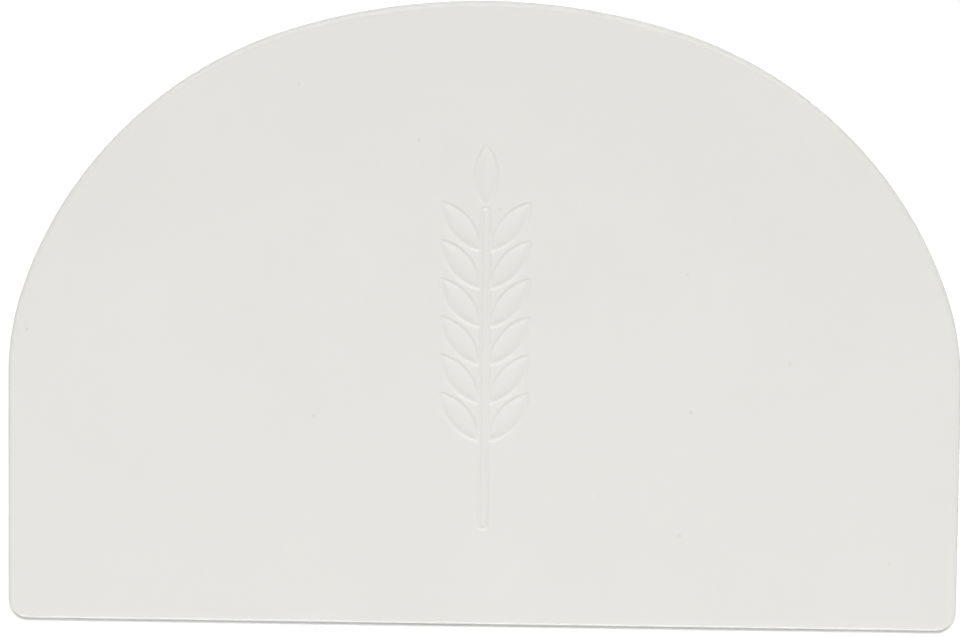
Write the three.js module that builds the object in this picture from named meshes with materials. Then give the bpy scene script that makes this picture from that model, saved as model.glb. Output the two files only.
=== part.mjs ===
// Dough scraper: a flexible D-shaped plate, moulded in one piece of white plastic.
// Millimetres, +Z up. The plate lies on its back. Its straight edge runs along X on the -Y side,
// its crown is on the +Y side, and the origin is under the middle of the plate.

import * as THREE from 'three';

// Driving dimensions
const width = 120;            // from side to side
const height = 80;            // from the straight edge to the top of the crown
const thickness = 2;          // from the back face to the front face
const sideLength = 31.7;      // from the straight edge to where each side starts to curve
const sideBlendRadius = 35;   // first arc above the side
const sideBlendAngle = 19;    // degrees that this arc turns
const crownHalfAngle = 17;    // degrees that the wide middle arc turns on each side of the top
const cornerRadius = 2.5;     // at both ends of the straight edge
const rimRadius = 0.5;        // rounding between the rim and each face

// Fineness of the curves
const arcSteps = 12;          // half the number of steps along each arc of the outline
const rimSteps = 4;           // steps round each rim rounding

const blendTurn = THREE.MathUtils.degToRad(sideBlendAngle);
const middleTurn = THREE.MathUtils.degToRad(crownHalfAngle);

// Above each side the outline runs through three arcs, each starting in the direction in which
// the one before it ends: the blend, the shoulder, and the wide arc over the middle. The blend
// is given. The other two have to reach the middle of the width and the top together, which
// makes two linear equations for their radii.
function crownRadii() {
  const across = width / 2 - sideBlendRadius * (1 - Math.cos(blendTurn));
  const up = height - sideLength - sideBlendRadius * Math.sin(blendTurn);
  const shoulderAcross = Math.cos(blendTurn) - Math.sin(middleTurn);
  const shoulderUp = Math.cos(middleTurn) - Math.sin(blendTurn);
  const middleAcross = Math.sin(middleTurn);
  const middleUp = 1 - Math.cos(middleTurn);
  const determinant = shoulderAcross * middleUp - middleAcross * shoulderUp;
  return {
    shoulder: (across * middleUp - middleAcross * up) / determinant,
    middle: (shoulderAcross * up - shoulderUp * across) / determinant,
  };
}

// The outline, anticlockwise from the right-hand corner, with the straight edge on Y = 0. The
// straight edge and the sides are the lines that join one arc to the next.
function plateOutline() {
  const radii = crownRadii();
  const quarter = Math.PI / 2;
  const cornerX = width / 2 - cornerRadius;
  const blendX = width / 2 - sideBlendRadius;
  const growth = radii.shoulder - sideBlendRadius;
  const shoulderX = blendX - growth * Math.cos(blendTurn);
  const shoulderY = sideLength - growth * Math.sin(blendTurn);
  const shoulderEnd = quarter - middleTurn;
  const middleY = height - radii.middle;

  const outline = new THREE.Shape();
  outline.absarc(cornerX, cornerRadius, cornerRadius, -quarter, 0);
  outline.absarc(blendX, sideLength, sideBlendRadius, 0, blendTurn);
  outline.absarc(shoulderX, shoulderY, radii.shoulder, blendTurn, shoulderEnd);
  outline.absarc(0, middleY, radii.middle, shoulderEnd, Math.PI - shoulderEnd);
  outline.absarc(-shoulderX, shoulderY, radii.shoulder, Math.PI - shoulderEnd, Math.PI - blendTurn);
  outline.absarc(-blendX, sideLength, sideBlendRadius, Math.PI - blendTurn, Math.PI);
  outline.absarc(-cornerX, cornerRadius, cornerRadius, Math.PI, Math.PI + quarter);
  outline.closePath();
  return outline;
}

// The plate: the outline carried through the thickness, with the rim rounded into both faces.
// The rounding is cut back from the outline, so the plate keeps its full width and height.
function scraperPlate() {
  const rounding = Math.min(rimRadius, thickness / 2);
  const geometry = new THREE.ExtrudeGeometry(plateOutline(), {
    depth: thickness - 2 * rounding,
    curveSegments: arcSteps,
    bevelEnabled: true,
    bevelThickness: rounding,
    bevelSize: rounding,
    bevelOffset: -rounding,
    bevelSegments: rimSteps,
  });
  const whitePlastic = new THREE.MeshStandardMaterial({
    color: 0xe5e4e0,
    roughness: 0.5,
    metalness: 0,
  });
  const plate = new THREE.Mesh(geometry, whitePlastic);
  plate.name = 'scraper_plate';
  plate.position.set(0, -height / 2, rounding);
  return plate;
}

const scraper = new THREE.Group();
scraper.name = 'dough_scraper';
scraper.add(scraperPlate());

export default scraper;
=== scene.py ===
import math

import bpy
import numpy as np
from mathutils import Matrix, Vector


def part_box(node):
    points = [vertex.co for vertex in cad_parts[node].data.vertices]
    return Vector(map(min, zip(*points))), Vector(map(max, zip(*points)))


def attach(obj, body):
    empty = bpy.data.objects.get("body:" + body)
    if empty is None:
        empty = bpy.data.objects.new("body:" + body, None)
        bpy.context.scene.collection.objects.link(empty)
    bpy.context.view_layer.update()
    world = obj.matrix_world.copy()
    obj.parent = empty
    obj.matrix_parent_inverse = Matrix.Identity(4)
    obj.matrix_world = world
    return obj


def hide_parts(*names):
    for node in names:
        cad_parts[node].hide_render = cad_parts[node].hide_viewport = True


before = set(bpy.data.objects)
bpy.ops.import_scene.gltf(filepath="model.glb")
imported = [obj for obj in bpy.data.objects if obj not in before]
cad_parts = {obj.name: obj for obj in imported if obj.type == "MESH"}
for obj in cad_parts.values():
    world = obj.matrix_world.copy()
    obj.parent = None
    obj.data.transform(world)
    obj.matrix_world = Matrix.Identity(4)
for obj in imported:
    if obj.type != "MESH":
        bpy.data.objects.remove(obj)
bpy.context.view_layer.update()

mm = 0.001
plateLow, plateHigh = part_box("scraper_plate")
print("frame loaded, plate", [round(side / mm, 2) for side in plateHigh - plateLow], "mm")


# Camera over the plate, leaning toward the crown. With all angles at 0 it looks straight down, crown up.
viewpoint = {
    "aim": (-0.62 * mm, -0.53 * mm, 1.0 * mm),     # point of the plate in the middle of the picture
    "distance": 1197 * mm,         # from that point to the lens
    "turn": 1.045,                 # degrees about the crown direction
    "tilt": -12.187,               # degrees about the straight edge
    "roll": 0.590,                 # degrees about the line of sight
    "focalPixels": 9510,           # focal length, in pixels of the picture
    "pictureWidth": 960,           # pixels
    "sensorWidth": 36,             # as in a full-frame camera, millimetres
    "nearest": 10 * mm,            # what lies nearer or farther isn't rendered
    "farthest": 100,               # metres
}


def makeCamera():
    turn = Matrix.Rotation(math.radians(viewpoint["turn"]), 3, "Y")
    tilt = Matrix.Rotation(math.radians(viewpoint["tilt"]), 3, "X")
    roll = Matrix.Rotation(math.radians(viewpoint["roll"]), 3, "Z")
    facing = turn @ tilt @ roll
    lens = bpy.data.cameras.new("viewpoint")
    lens.sensor_width = viewpoint["sensorWidth"]
    lens.lens = viewpoint["focalPixels"] / viewpoint["pictureWidth"] * viewpoint["sensorWidth"]
    lens.clip_start = viewpoint["nearest"]
    lens.clip_end = viewpoint["farthest"]
    camera = bpy.data.objects.new("viewpoint", lens)
    camera.rotation_euler = facing.to_euler()
    camera.location = Vector(viewpoint["aim"]) + facing @ Vector((0, 0, viewpoint["distance"]))
    bpy.context.scene.collection.objects.link(camera)
    bpy.context.scene.camera = camera
    print("camera with a", round(lens.lens), "mm lens")


# Ear of grain sunk into the middle of the face: a stem, leaning pairs of grains, and one more grain on top.
ear = {
    "field": ((-8 * mm, -29 * mm), (8 * mm, 24 * mm)),     # part of the face that is finely meshed
    "fieldStep": 0.13 * mm,
    "foot": -27 * mm,              # lower end of the stem
    "firstPair": -16 * mm,         # where the lowest pair leaves the stem
    "pairStep": 4.9 * mm,
    "pairs": 6,
    "lean": 38,                    # degrees from the stem
    "grainLength": 7.6 * mm,
    "grainWidth": 2.6 * mm,
    "grainGap": 0.8 * mm,          # from the middle of the stem to a grain's lower tip
    "stemWidth": 0.9 * mm,
    "depth": 0.15 * mm,
    "wall": 0.4 * mm,              # width of the slope outside a grain
}


# Distance from a lens, negative inside it. The lens is where two equal circles overlap, so each of its arcs
# belongs to the circle centred on the other side. The distance is to the arc, or beyond both arcs to the tip.
def lensDistance(across, along, length, width):
    tip = length / 2
    radius = (tip ** 2 / (width / 2) + width / 2) / 2
    offset = radius - width / 2
    across = np.abs(across)
    along = np.abs(along)
    toTip = np.hypot(across, along - tip)
    toArc = np.hypot(across + offset, along) - radius
    return np.where((along - tip) * offset > across * tip, toTip, toArc)


# Distance from a round-ended stroke, negative inside it: to the nearest point of its middle line, less half
# its width.
def strokeDistance(across, along, length, width):
    return np.hypot(across, along - np.clip(along, 0, length)) - width / 2


# How far the face is sunk at (x, y), from the distance to the nearest of the stem and the grains. Outside a
# grain the face comes up again over the width of the wall, as half a cosine. Inside it the depth falls as a
# square toward the grain's middle, so a grain looks raised although nothing stands above the face.
def earDepth(x, y):
    stemTop = ear["firstPair"] + ear["pairs"] * ear["pairStep"]
    lean = math.radians(ear["lean"])
    grains = [(0, stemTop + ear["grainGap"], 0)]
    for pair in range(ear["pairs"]):
        for side in (-1, 1):
            grains.append((side * ear["grainGap"], ear["firstPair"] + pair * ear["pairStep"], side * lean))
    distances = [strokeDistance(x, y - ear["foot"], stemTop - ear["foot"], ear["stemWidth"])]
    halfWidths = [ear["stemWidth"] / 2]
    for tipX, tipY, angle in grains:
        along = (x - tipX) * math.sin(angle) + (y - tipY) * math.cos(angle) - ear["grainLength"] / 2
        across = (x - tipX) * math.cos(angle) - (y - tipY) * math.sin(angle)
        distances.append(lensDistance(across, along, ear["grainLength"], ear["grainWidth"]))
        halfWidths.append(ear["grainWidth"] / 2)
    distances = np.array(distances)
    distance = distances.min(axis=0)
    halfWidth = np.array(halfWidths)[distances.argmin(axis=0)]
    outside = 0.5 + 0.5 * np.cos(np.pi * np.clip(distance / ear["wall"], 0, 1))
    inside = (1 - np.clip(-distance / halfWidth, 0, 1)) ** 2
    return ear["depth"] * np.where(distance > 0, outside, inside)


# Plate: one moulded D. Its width, height and thickness come from the frame.
plate = {
    "sideLength": 31.7 * mm,       # from the straight edge to where each side starts to curve
    "blendRadius": 35 * mm,        # first arc above the side
    "blendAngle": 19,              # degrees that it turns
    "crownHalfAngle": 17,          # degrees that the wide middle arc turns to each side of the top
    "cornerRadius": 2.5 * mm,      # at both ends of the straight edge
    "rimRadius": 0.5 * mm,         # rounding between the rim and each face
    "partingDepth": 0.03 * mm,     # fine line round the rim where the halves of the mould met
    "partingWidth": 0.12 * mm,
    "supportWidth": 0.1 * mm,      # narrow flat beside each rounding, which keeps the faces flat in shading
    "cornerSteps": 40,             # steps along each corner, side and blend of the outline
    "sideSteps": 40,
    "blendSteps": 60,
    "roundingSteps": 9,            # steps round each rim rounding
    "faceRings": 3,                # rings of faces between the ear's field and the rim
    "mapGap": 0.6 * mm,            # round the front and the back on the flat map
}


# Arc of the outline: its centre plus its radius times (cos a, sin a), with a in even steps short of the end.
# Each point faces along (cos a, sin a).
def arcRun(centre, radius, startAngle, endAngle, steps):
    angle = np.radians(np.linspace(startAngle, endAngle, steps, endpoint=False))
    facing = np.stack([np.cos(angle), np.sin(angle)], axis=1)
    return np.array(centre) + radius * facing, facing


# Straight run of the outline: even steps from one point to the other, short of the end, all facing one way.
def straightRun(start, end, facing, steps):
    share = np.linspace(0, 1, steps, endpoint=False)[:, None]
    return np.array(start) * (1 - share) + np.array(end) * share, np.tile(facing, (steps, 1))


# The outline, anticlockwise from the middle of the straight edge, as points and the ways that they face. Each
# arc starts in the direction in which the one before it ends. The blend is given, and the shoulder and the
# crown have to reach the middle of the width and the top together: two linear equations for their radii.
# The left half mirrors the right one.
def plateOutline(acrossSteps, alongSteps):
    halfWidth, top, bottom = plateHigh.x, plateHigh.y, plateLow.y
    blendRadius = plate["blendRadius"]
    blendAngle = plate["blendAngle"]
    crownStart = 90 - plate["crownHalfAngle"]
    blend = math.radians(blendAngle)
    crown = math.radians(plate["crownHalfAngle"])
    sideTop = bottom + plate["sideLength"]
    perRadius = np.array([[math.cos(blend) - math.sin(crown), math.sin(crown)],
                          [math.cos(crown) - math.sin(blend), 1 - math.cos(crown)]])
    reach = np.array([halfWidth - blendRadius * (1 - math.cos(blend)),
                      top - sideTop - blendRadius * math.sin(blend)])
    shoulderRadius, crownRadius = np.linalg.solve(perRadius, reach)

    corner = (halfWidth - plate["cornerRadius"], bottom + plate["cornerRadius"])
    blendCentre = (halfWidth - blendRadius, sideTop)
    growth = shoulderRadius - blendRadius
    shoulder = (blendCentre[0] - growth * math.cos(blend), sideTop - growth * math.sin(blend))
    crownCentre = (0, top - crownRadius)
    edgeSteps = (acrossSteps - plate["cornerSteps"]) // 2
    crownSteps = acrossSteps // 2
    shoulderSteps = alongSteps - plate["cornerSteps"] // 2 - plate["sideSteps"] - plate["blendSteps"]
    runs = [
        straightRun((0, bottom), (corner[0], bottom), (0, -1), edgeSteps),
        arcRun(corner, plate["cornerRadius"], -90, 0, plate["cornerSteps"]),
        straightRun((halfWidth, corner[1]), (halfWidth, sideTop), (1, 0), plate["sideSteps"]),
        arcRun(blendCentre, blendRadius, 0, blendAngle, plate["blendSteps"]),
        arcRun(shoulder, shoulderRadius, blendAngle, crownStart, shoulderSteps),
        arcRun(crownCentre, crownRadius, crownStart, 90, crownSteps),
        arcRun(crownCentre, crownRadius, 90, 90, 1),
    ]
    mirror = np.array([-1, 1])
    halves = [np.concatenate(parts) for parts in zip(*runs)]
    return [np.concatenate([half, half[-2:0:-1] * mirror]) for half in halves]


# Section through the rim, from the front face round to the back: how far in from the outline, and how high.
# Each rounding is a quarter circle, and the parting line is a shallow V at half height.
def rimSection():
    radius = plate["rimRadius"]
    turn = np.linspace(0, math.pi / 2, plate["roundingSteps"] + 1)
    support = [radius + plate["supportWidth"]]
    middle = (plateLow.z + plateHigh.z) / 2
    halfLine = plate["partingWidth"] / 2
    inset = np.concatenate([support, radius * (1 - np.sin(turn)), [0, plate["partingDepth"], 0],
                            radius * (1 - np.cos(turn)), support])
    height = np.concatenate([[plateHigh.z], plateHigh.z - radius * (1 - np.cos(turn)),
                             [middle + halfLine, middle, middle - halfLine],
                             plateLow.z + radius * (1 - np.sin(turn)), [plateLow.z]])
    return inset, height


# Flat map of the plate, through which its finish is baked. The front and the rim down to the parting line lie
# flat in the left half, a quarter turn round, and the back with the rest of the rim in the right half. It
# takes each point's place when laid flat, the points of all the faces' corners, and the back's first corner.
def flatMap(flat, corners, backStart):
    isBack = np.arange(len(corners)) >= backStart
    x, y = flat[corners].T
    lowX, lowY = flat.min(axis=0) - plate["mapGap"]
    highY = flat[:, 1].max() + plate["mapGap"]
    size = 2 * (highY - lowY)
    return np.stack([(y - lowY) / size + isBack / 2, (np.where(isBack, x, -x) - lowX) / size], axis=1)


# Middle of the front face: a grid of heights z(x, y), the face's own less the depth of the ear. Gives its
# points, its faces, and its edge anticlockwise from the middle of the lower side.
def earField(acrossSteps, alongSteps):
    (lowX, lowY), (highX, highY) = ear["field"]
    x, y = np.meshgrid(np.linspace(lowX, highX, acrossSteps + 1), np.linspace(lowY, highY, alongSteps + 1))
    points = np.stack([x, y, plateHigh.z - earDepth(x, y)], axis=-1).reshape(-1, 3)
    index = np.arange(x.size).reshape(x.shape)
    faces = np.stack([index[:-1, :-1], index[:-1, 1:], index[1:, 1:], index[1:, :-1]], axis=-1)
    edge = np.concatenate([index[0, :-1], index[:-1, -1], index[-1, :0:-1], index[:0:-1, 0]])
    return points, faces, np.roll(edge, -acrossSteps // 2)


# The plate's mesh. From the edge of the ear's field, rings of points run out to the outline, over the rim and
# in again on the back, which one flat face closes. Every ring has as many points as the edge of the field.
def makePlate():
    (lowX, lowY), (highX, highY) = ear["field"]
    acrossSteps = 2 * round((highX - lowX) / ear["fieldStep"] / 2)
    alongSteps = round((highY - lowY) / ear["fieldStep"])
    field, fieldFaces, fieldEdge = earField(acrossSteps, alongSteps)
    outline, facing = plateOutline(acrossSteps, alongSteps)
    inset, height = rimSection()
    rim = np.empty((len(inset), len(outline), 3))
    rim[..., :2] = outline - inset[:, None, None] * facing
    rim[..., 2] = height[:, None]
    share = np.linspace(0, 1, plate["faceRings"] + 1)[1:-1, None, None]
    face = field[fieldEdge] * (1 - share) + rim[0] * share
    rings = np.concatenate([face, rim])

    loops = len(field) + np.arange(rings[..., 0].size).reshape(rings.shape[:2])
    loops = np.concatenate([fieldEdge[None], loops])
    nextLoops = np.roll(loops, -1, axis=1)
    ringFaces = np.stack([loops[:-1], loops[1:], nextLoops[1:], nextLoops[:-1]], axis=-1)
    points = np.concatenate([field, rings.reshape(-1, 3)])
    quads = np.concatenate([fieldFaces.reshape(-1, 4), ringFaces.reshape(-1, 4)])
    back = loops[-1, ::-1]
    faces = quads.tolist() + [back.tolist()]

    # laid flat, the rim goes out from both faces by the length along its section
    alongSection = np.concatenate([[0], np.cumsum(np.hypot(np.diff(inset), np.diff(height)))])
    fromFace = np.minimum(alongSection, alongSection[-1] - alongSection)
    flatRim = outline + (fromFace - inset[0])[:, None, None] * facing
    flat = np.concatenate([part.reshape(-1, 2) for part in (field[:, :2], face[..., :2], flatRim)])
    frontRings = plate["faceRings"] + len(inset) // 2
    backStart = fieldFaces.size + frontRings * ringFaces[0].size
    uv = flatMap(flat, np.concatenate([quads.ravel(), back]), backStart)

    # each point's distance from the outline, for the finish near the rim
    faceInset = np.linalg.norm(face[..., :2] - outline, axis=-1)
    rimInset = np.repeat(inset[:, None], len(outline), axis=1)
    ringInset = np.concatenate([faceInset, rimInset]).ravel()
    fromRim = np.concatenate([np.full(len(field), ringInset.max()), ringInset])

    mesh = bpy.data.meshes.new("moulded_plate")
    mesh.from_pydata(points.tolist(), [], faces)
    mesh.polygons.foreach_set("use_smooth", np.ones(len(faces), bool))
    mesh.attributes.new("fromRim", "FLOAT", "POINT").data.foreach_set("value", fromRim)
    mesh.uv_layers.new(name="OFBake").uv.foreach_set("vector", uv.ravel())
    mesh.materials.append(satinPlastic())
    piece = bpy.data.objects.new("moulded_plate", mesh)
    bpy.context.scene.collection.objects.link(piece)
    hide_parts("scraper_plate")
    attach(piece, "root")
    print("plate of", len(points), "points and", len(faces), "faces")


# White plastic: matt to satin, a little milky, with a fine moulded grain, faint clouds and faint specks.
# Along the rim, handling has dulled it in patches, which are also greyed as painted shade on the crown's lit
# rim, and scraping has polished the straight edge.
plastic = {
    "white": (0.783, 0.775, 0.745),
    "ior": 1.49,
    "roughness": 0.58,
    "roughnessSpread": 0.06,       # how far the clouds take it up and down
    "milkiness": 0.12,             # share of the light that passes under the surface
    "milkDepth": 0.5 * mm,
    "milkTint": (1.0, 0.9, 0.75),
    "cloud": 0.022,                # how much lighter and darker the clouds are
    "cloudSize": 18 * mm,
    "cloudDetail": 3.0,            # finer layers in the noise, as in the other details
    "grainSize": 0.25 * mm,
    "grainDetail": 2.0,
    "grainHeight": 0.004 * mm,
    "speckSpacing": 12 * mm,
    "speckRadius": 0.3 * mm,
    "speckShare": 0.3,             # share of the places that hold a speck
    "speckStrength": (0.2, 0.75),  # faintest and strongest
    "speckColour": (0.64, 0.62, 0.58),
    "rubAndShadeWidth": 0.75 * mm,         # how far in from the rim the handled patches and their painted shade reach
    "rubAndShadeSize": 2.5 * mm,
    "rubAndShadeDetail": 4.0,
    "rubRoughness": 0.3,           # added where the rub is full
    # painted shade: grey for the handled patches, darkening the rim that the key lamp lights at the crown
    "paintedRimShade": (0.705, 0.697, 0.67),
    "polishWidth": 0.8 * mm,       # how far in from the straight edge it is polished
    "polishRoughness": 0.4,
}


# New node, with values for its sockets and settings of its own.
def addNode(tree, kind, values=None, **settings):
    node = tree.nodes.new(kind)
    for name, value in settings.items():
        setattr(node, name, value)
    for name, value in (values or {}).items():
        node.inputs[name].default_value = value
    return node


# How much handling and painted shade show: it falls from the rim to 0 at the rub's width, grows from 0 at the
# straight edge to 1 at the crown, which the hand holds and the key lamp lights, and is broken up by a soft
# noise.
# It raises the roughness as wear and greys the colour as painted shade.
def rimRubAndShade(tree, place):
    link = tree.links.new
    rim = addNode(tree, "ShaderNodeAttribute", attribute_name="fromRim")
    nearRim = addNode(tree, "ShaderNodeMapRange", {"From Min": plastic["rubAndShadeWidth"], "From Max": 0.0})
    axes = addNode(tree, "ShaderNodeSeparateXYZ")
    nearCrown = addNode(tree, "ShaderNodeMapRange", {"From Min": plateLow.y, "From Max": plateHigh.y})
    patches = addNode(tree, "ShaderNodeTexNoise",
                      {"Scale": 1 / plastic["rubAndShadeSize"], "Detail": plastic["rubAndShadeDetail"]})
    rimTowardCrown = addNode(tree, "ShaderNodeMath", operation="MULTIPLY")
    rubAndShade = addNode(tree, "ShaderNodeMath", operation="MULTIPLY")
    link(rim.outputs["Fac"], nearRim.inputs["Value"])
    link(place, axes.inputs["Vector"])
    link(axes.outputs["Y"], nearCrown.inputs["Value"])
    link(place, patches.inputs["Vector"])
    link(nearRim.outputs["Result"], rimTowardCrown.inputs[0])
    link(nearCrown.outputs["Result"], rimTowardCrown.inputs[1])
    link(rimTowardCrown.outputs["Value"], rubAndShade.inputs[0])
    link(patches.outputs["Fac"], rubAndShade.inputs[1])
    return rubAndShade.outputs["Value"]


# Base colour: two close whites mixed by a soft noise, then specks, then the grey of the rub, which is painted
# shade on the crown's lit rim. A speck is the middle of a Voronoi cell, and the cell's own random colour says
# whether it is there and how strong it is.
def plasticColour(tree, place, cloud, rubAndShade):
    link = tree.links.new
    darker = [channel * (1 - plastic["cloud"]) for channel in plastic["white"]]
    lighter = [channel * (1 + plastic["cloud"]) for channel in plastic["white"]]
    base = addNode(tree, "ShaderNodeMix", data_type="RGBA")
    base.inputs["A"].default_value = (*darker, 1)
    base.inputs["B"].default_value = (*lighter, 1)
    link(cloud, base.inputs["Factor"])

    cells = addNode(tree, "ShaderNodeTexVoronoi", {"Scale": 1 / plastic["speckSpacing"]},
                    voronoi_dimensions="2D")
    chance = addNode(tree, "ShaderNodeSeparateColor")
    radius = plastic["speckRadius"] / plastic["speckSpacing"]
    spot = addNode(tree, "ShaderNodeMapRange", {"From Min": radius, "From Max": 0.0})
    here = addNode(tree, "ShaderNodeMath", {1: plastic["speckShare"]}, operation="LESS_THAN")
    weakest, strongest = plastic["speckStrength"]
    strength = addNode(tree, "ShaderNodeMapRange", {"To Min": weakest, "To Max": strongest})
    shown = addNode(tree, "ShaderNodeMath", operation="MULTIPLY")
    amount = addNode(tree, "ShaderNodeMath", operation="MULTIPLY")
    specked = addNode(tree, "ShaderNodeMix", data_type="RGBA")
    specked.inputs["B"].default_value = (*plastic["speckColour"], 1)
    # painted shade on the rim, in the handled patches toward the crown
    colour = addNode(tree, "ShaderNodeMix", data_type="RGBA")
    colour.inputs["B"].default_value = (*plastic["paintedRimShade"], 1)
    link(place, cells.inputs["Vector"])
    link(cells.outputs["Distance"], spot.inputs["Value"])
    link(cells.outputs["Color"], chance.inputs["Color"])
    link(chance.outputs["Red"], here.inputs[0])
    link(chance.outputs["Green"], strength.inputs["Value"])
    link(spot.outputs["Result"], shown.inputs[0])
    link(here.outputs["Value"], shown.inputs[1])
    link(shown.outputs["Value"], amount.inputs[0])
    link(strength.outputs["Result"], amount.inputs[1])
    link(base.outputs["Result"], specked.inputs["A"])
    link(amount.outputs["Value"], specked.inputs["Factor"])
    link(specked.outputs["Result"], colour.inputs["A"])
    link(rubAndShade, colour.inputs["Factor"])
    return colour.outputs["Result"]


# Roughness: it follows the clouds and goes up with the rub. Toward the straight edge it changes, over the
# width of the polish, to the polished one.
def plasticRoughness(tree, place, cloud, rubAndShade):
    link = tree.links.new
    middle = plastic["roughness"]
    spread = plastic["roughnessSpread"]
    base = addNode(tree, "ShaderNodeMapRange", {"To Min": middle - spread, "To Max": middle + spread})
    rubbed = addNode(tree, "ShaderNodeMath", {1: plastic["rubRoughness"]}, operation="MULTIPLY_ADD")
    axes = addNode(tree, "ShaderNodeSeparateXYZ")
    polish = addNode(tree, "ShaderNodeMapRange",
                     {"From Min": plateLow.y + plastic["polishWidth"], "From Max": plateLow.y})
    worn = addNode(tree, "ShaderNodeMix", {"B": plastic["polishRoughness"]}, data_type="FLOAT")
    link(cloud, base.inputs["Value"])
    link(rubAndShade, rubbed.inputs[0])
    link(base.outputs["Result"], rubbed.inputs[2])
    link(place, axes.inputs["Vector"])
    link(axes.outputs["Y"], polish.inputs["Value"])
    link(polish.outputs["Result"], worn.inputs["Factor"])
    link(rubbed.outputs["Value"], worn.inputs["A"])
    return worn.outputs["Result"]


def satinPlastic():
    material = bpy.data.materials.new("satinPlastic")
    material.use_nodes = True
    tree = material.node_tree
    link = tree.links.new
    shader = tree.nodes["Principled BSDF"]
    shader.inputs["IOR"].default_value = plastic["ior"]
    shader.inputs["Subsurface Weight"].default_value = plastic["milkiness"]
    shader.inputs["Subsurface Radius"].default_value = plastic["milkTint"]
    shader.inputs["Subsurface Scale"].default_value = plastic["milkDepth"]
    place = addNode(tree, "ShaderNodeTexCoord").outputs["Object"]
    cloud = addNode(tree, "ShaderNodeTexNoise",
                    {"Scale": 1 / plastic["cloudSize"], "Detail": plastic["cloudDetail"]})
    grain = addNode(tree, "ShaderNodeTexNoise",
                    {"Scale": 1 / plastic["grainSize"], "Detail": plastic["grainDetail"]})
    bump = addNode(tree, "ShaderNodeBump", {"Distance": plastic["grainHeight"]})
    link(place, cloud.inputs["Vector"])
    link(place, grain.inputs["Vector"])
    link(grain.outputs["Fac"], bump.inputs["Height"])
    link(bump.outputs["Normal"], shader.inputs["Normal"])
    rubAndShade = rimRubAndShade(tree, place)
    link(plasticColour(tree, place, cloud.outputs["Fac"], rubAndShade), shader.inputs["Base Color"])
    link(plasticRoughness(tree, place, cloud.outputs["Fac"], rubAndShade), shader.inputs["Roughness"])
    return material


# Studio: a high lamp on the crown side, a sky that is brightest at the horizon, a soft panel and a low strip
# on the straight edge's side, and a white floor. A level is what a white surface facing up would show. The
# lamps' places and sizes are in metres.
studio = {
    "keyLevel": 0.752,
    "keyTilt": 25.5,               # degrees from overhead toward the crown
    "keyLean": 2,                  # degrees from overhead toward the right
    "keySpread": 13,               # degrees across
    "skyTop": 0.09,                # brightness overhead
    "skyHorizon": 0.2,             # how much brighter it is at the horizon
    "skySeen": 1.0,                # plain white wherever it is seen
    "fillLevel": 0.105,
    "fillPlace": (0, -0.11, 0.16),
    "fillSize": (0.3, 0.12),
    "lowLevel": 0.0195,
    "lowPlace": (0, -0.7, 0.02),
    "lowSize": (1.0, 0.03),
    "floorSize": 6,                # metres
    "floorDrop": 0.02 * mm,        # how far below the plate's back it lies
    "floorWhite": 0.97,
    "floorGlow": (0.02, 0.13),     # added where it is seen: at the straight edge, and from the reach on
    "glowReach": 110 * mm,
}


# 1 for what the camera sees, directly, in a reflection or through something clear, and 0 for other light.
def seenRays(tree):
    rays = addNode(tree, "ShaderNodeLightPath")
    direct = addNode(tree, "ShaderNodeMath", operation="MAXIMUM")
    seen = addNode(tree, "ShaderNodeMath", operation="MAXIMUM")
    tree.links.new(rays.outputs["Is Camera Ray"], direct.inputs[0])
    tree.links.new(rays.outputs["Is Glossy Ray"], direct.inputs[1])
    tree.links.new(direct.outputs["Value"], seen.inputs[0])
    tree.links.new(rays.outputs["Is Transmission Ray"], seen.inputs[1])
    return seen.outputs["Value"]


# Floor: white, with a glow for the camera, reflections and seen-through surfaces. The glow grows with the way
# from the middle of the straight edge, as the fill fades, so that the floor shows an even white.
def makeFloor():
    half = studio["floorSize"] / 2
    corners = np.array([(-half, -half), (half, -half), (half, half), (-half, half)])
    points = np.column_stack([corners, np.full(len(corners), -studio["floorDrop"])])
    mesh = bpy.data.meshes.new("floor")
    mesh.from_pydata(points.tolist(), [], [(0, 1, 2, 3)])
    material = bpy.data.materials.new("floorWhite")
    material.use_nodes = True
    tree = material.node_tree
    tree.nodes.clear()
    link = tree.links.new
    matt = addNode(tree, "ShaderNodeBsdfDiffuse", {"Color": (*[studio["floorWhite"]] * 3, 1)})
    place = addNode(tree, "ShaderNodeTexCoord")
    away = addNode(tree, "ShaderNodeVectorMath", {1: (0, plateLow.y, 0)}, operation="DISTANCE")
    least, most = studio["floorGlow"]
    level = addNode(tree, "ShaderNodeMapRange",
                    {"From Max": studio["glowReach"], "To Min": least, "To Max": most})
    shown = addNode(tree, "ShaderNodeMath", operation="MULTIPLY")
    glow = addNode(tree, "ShaderNodeEmission")
    both = addNode(tree, "ShaderNodeAddShader")
    output = addNode(tree, "ShaderNodeOutputMaterial")
    link(place.outputs["Object"], away.inputs[0])
    link(away.outputs["Value"], level.inputs["Value"])
    link(seenRays(tree), shown.inputs[0])
    link(level.outputs["Result"], shown.inputs[1])
    link(shown.outputs["Value"], glow.inputs["Strength"])
    link(matt.outputs["BSDF"], both.inputs[0])
    link(glow.outputs["Emission"], both.inputs[1])
    link(both.outputs["Shader"], output.inputs["Surface"])
    mesh.materials.append(material)
    floor = bpy.data.objects.new("floor", mesh)
    bpy.context.scene.collection.objects.link(floor)
    print("floor", studio["floorSize"], "m wide")


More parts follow.
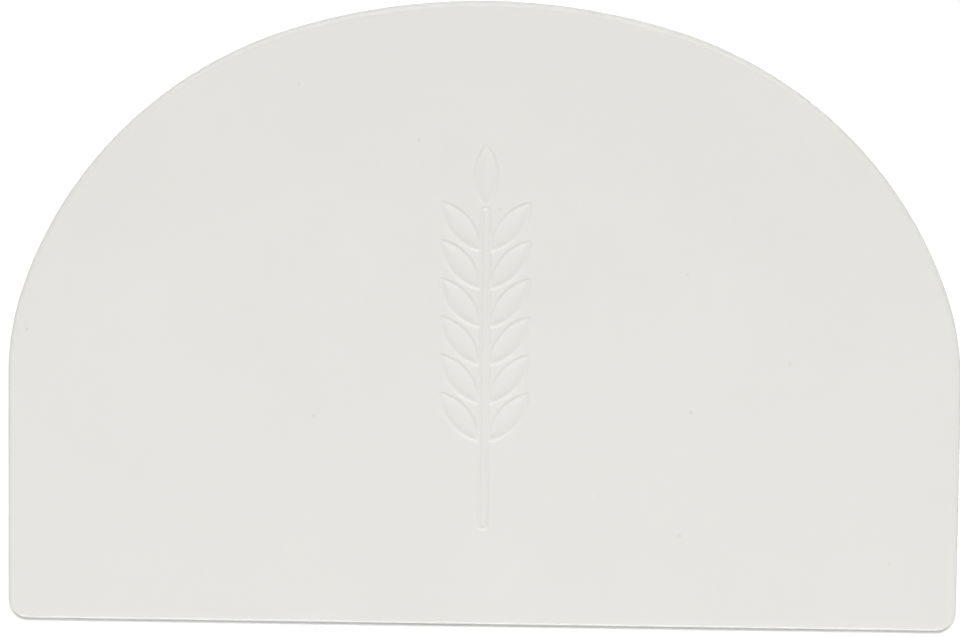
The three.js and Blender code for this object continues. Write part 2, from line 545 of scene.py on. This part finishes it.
# Sky: its brightness is the one overhead plus a share of the horizon's that goes with (1 - height) squared.
# What the camera, reflections and seen-through surfaces get of it is plain white.
def makeSky():
    world = bpy.data.worlds.new("sky")
    bpy.context.scene.world = world
    world.use_nodes = True
    tree = world.node_tree
    link = tree.links.new
    background = tree.nodes["Background"]
    background.inputs["Color"].default_value = (1, 1, 1, 1)
    direction = addNode(tree, "ShaderNodeTexCoord")
    height = addNode(tree, "ShaderNodeSeparateXYZ")
    lowness = addNode(tree, "ShaderNodeMath", {0: 1.0}, operation="SUBTRACT", use_clamp=True)
    band = addNode(tree, "ShaderNodeMath", {1: 2.0}, operation="POWER")
    level = addNode(tree, "ShaderNodeMath", {1: studio["skyHorizon"], 2: studio["skyTop"]},
                    operation="MULTIPLY_ADD")
    strength = addNode(tree, "ShaderNodeMapRange", {"To Max": studio["skySeen"]})
    link(direction.outputs["Generated"], height.inputs["Vector"])
    link(height.outputs["Z"], lowness.inputs[1])
    link(lowness.outputs["Value"], band.inputs[0])
    link(band.outputs["Value"], level.inputs[0])
    link(seenRays(tree), strength.inputs["Value"])
    link(level.outputs["Value"], strength.inputs["To Min"])
    link(strength.outputs["Result"], background.inputs["Strength"])


# Lamp panel that faces the origin. Its power follows from the level that it gives there.
def makePanel(name, level, place, size):
    place = Vector(place)
    lamp = bpy.data.lights.new(name, "AREA")
    lamp.shape = "RECTANGLE"
    lamp.size, lamp.size_y = size
    lamp.energy = level * math.pi ** 2 * place.length ** 3 / place.z
    panel = bpy.data.objects.new(name, lamp)
    panel.location = place
    panel.rotation_euler = place.to_track_quat("Z", "Y").to_euler()
    panel.visible_camera = False
    bpy.context.scene.collection.objects.link(panel)


def makeLights():
    tilt = math.radians(studio["keyTilt"])
    lean = math.radians(studio["keyLean"])
    lamp = bpy.data.lights.new("key", "SUN")
    lamp.energy = studio["keyLevel"] * math.pi / (math.cos(tilt) * math.cos(lean))
    lamp.angle = math.radians(studio["keySpread"])
    key = bpy.data.objects.new("key", lamp)
    key.rotation_euler = (-tilt, lean, 0)
    bpy.context.scene.collection.objects.link(key)
    makePanel("fill", studio["fillLevel"], studio["fillPlace"], studio["fillSize"])
    makePanel("low", studio["lowLevel"], studio["lowPlace"], studio["lowSize"])
    makeSky()
    print("lights made")


makeCamera()
makePlate()
makeFloor()
makeLights()
bpy.context.scene.view_settings.view_transform = "Standard"
